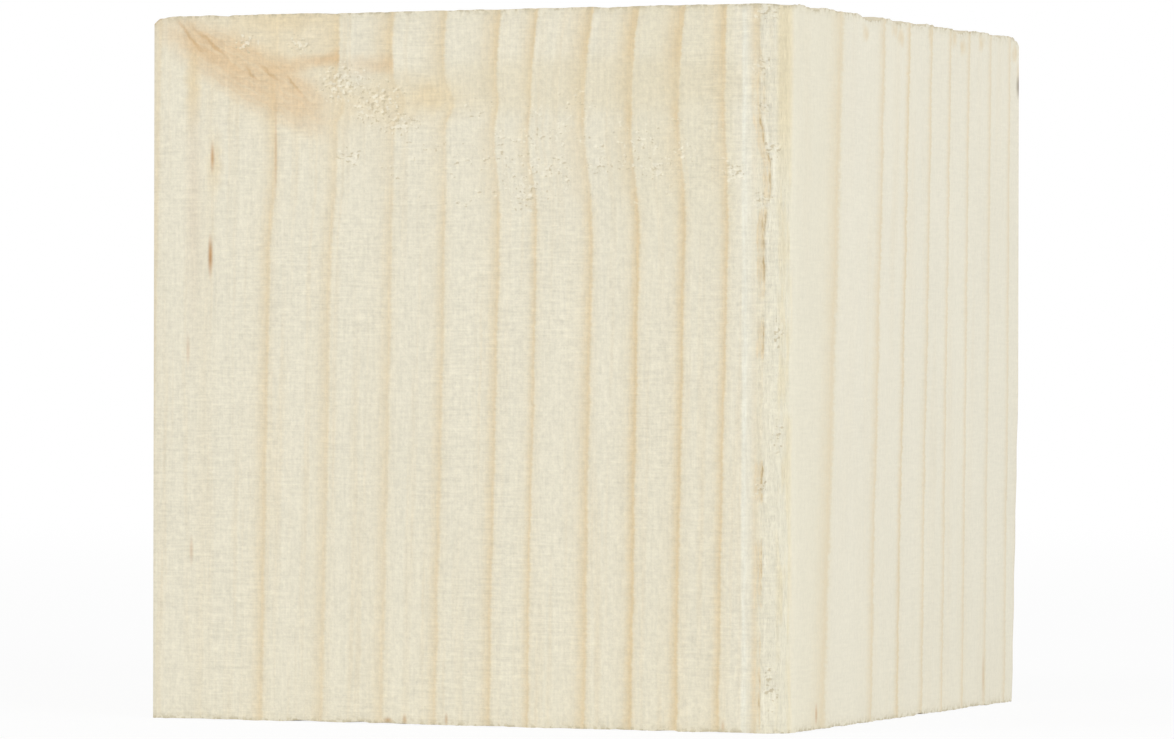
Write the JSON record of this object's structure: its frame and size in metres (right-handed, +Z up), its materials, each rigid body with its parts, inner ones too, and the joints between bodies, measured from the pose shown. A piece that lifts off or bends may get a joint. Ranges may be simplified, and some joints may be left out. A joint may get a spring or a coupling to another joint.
{
  "type": "wooden cube",
  "caption": "Solid softwood cube with planed sides, crosscut ends and eased edges, for use as a craft blank, stacking block or small support.",
  "frame": {"origin": "middle of the base, the sawn end that the cube stands on", "axes": "+Z up along the grain, +X to the right along the front face, -Y out of the front face"},
  "size_m": [0.0486, 0.0486, 0.05],
  "materials": {
    "softwood": "bare pale softwood, planed along the grain and sawn across it"
  },
  "bodies": {
    "root": {"wooden_cube": "softwood"}
  },
  "joints": []
}
